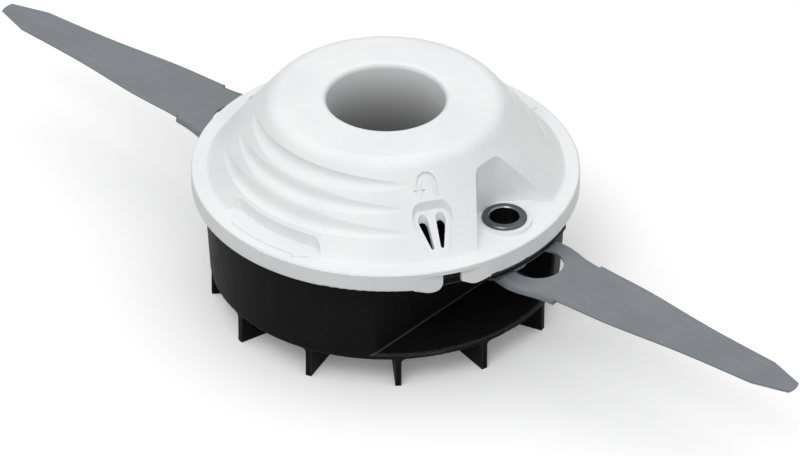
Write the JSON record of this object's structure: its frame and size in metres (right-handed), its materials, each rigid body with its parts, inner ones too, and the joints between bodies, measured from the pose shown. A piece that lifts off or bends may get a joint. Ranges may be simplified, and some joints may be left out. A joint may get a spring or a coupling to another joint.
{
  "type": "trimmer blade head",
  "caption": "Round garden trimmer head: a domed wear cap on a finned fan base, with plastic blades that swing on hollow pins at the rim.",
  "frame": {"origin": "on the spin axis, level with the feet of the fan fins", "axes": "+Z along the spin axis towards the wear cap, which is the ground side; +X along blade_1"},
  "size_m": [0.2304, 0.086, 0.0505],
  "materials": {
    "black_nylon": "satin moulded",
    "white_nylon": "satin moulded",
    "grey_nylon": "satin moulded",
    "steel": "turned"
  },
  "bodies": {
    "head": {"base_housing": "black_nylon", "wear_cap": "white_nylon", "pivot_pin_1": "steel", "pivot_pin_2": "steel", "drive_bush": "steel", "clamp_washer": "steel", "lock_nut": "steel"},
    "blade_1": {"blade_1": "grey_nylon"},
    "blade_2": {"blade_2": "grey_nylon"}
  },
  "joints": [
    {"name": "blade_1_swing", "type": "hinge", "parent": "head", "child": "blade_1", "pos_m": [0.0342, 0, 0.025], "axis": [0, 0, 1], "range_deg": [-85, 32]},
    {"name": "blade_2_swing", "type": "hinge", "parent": "head", "child": "blade_2", "pos_m": [-0.0342, 0, 0.025], "axis": [0, 0, 1], "range_deg": [-85, 32]}
  ]
}
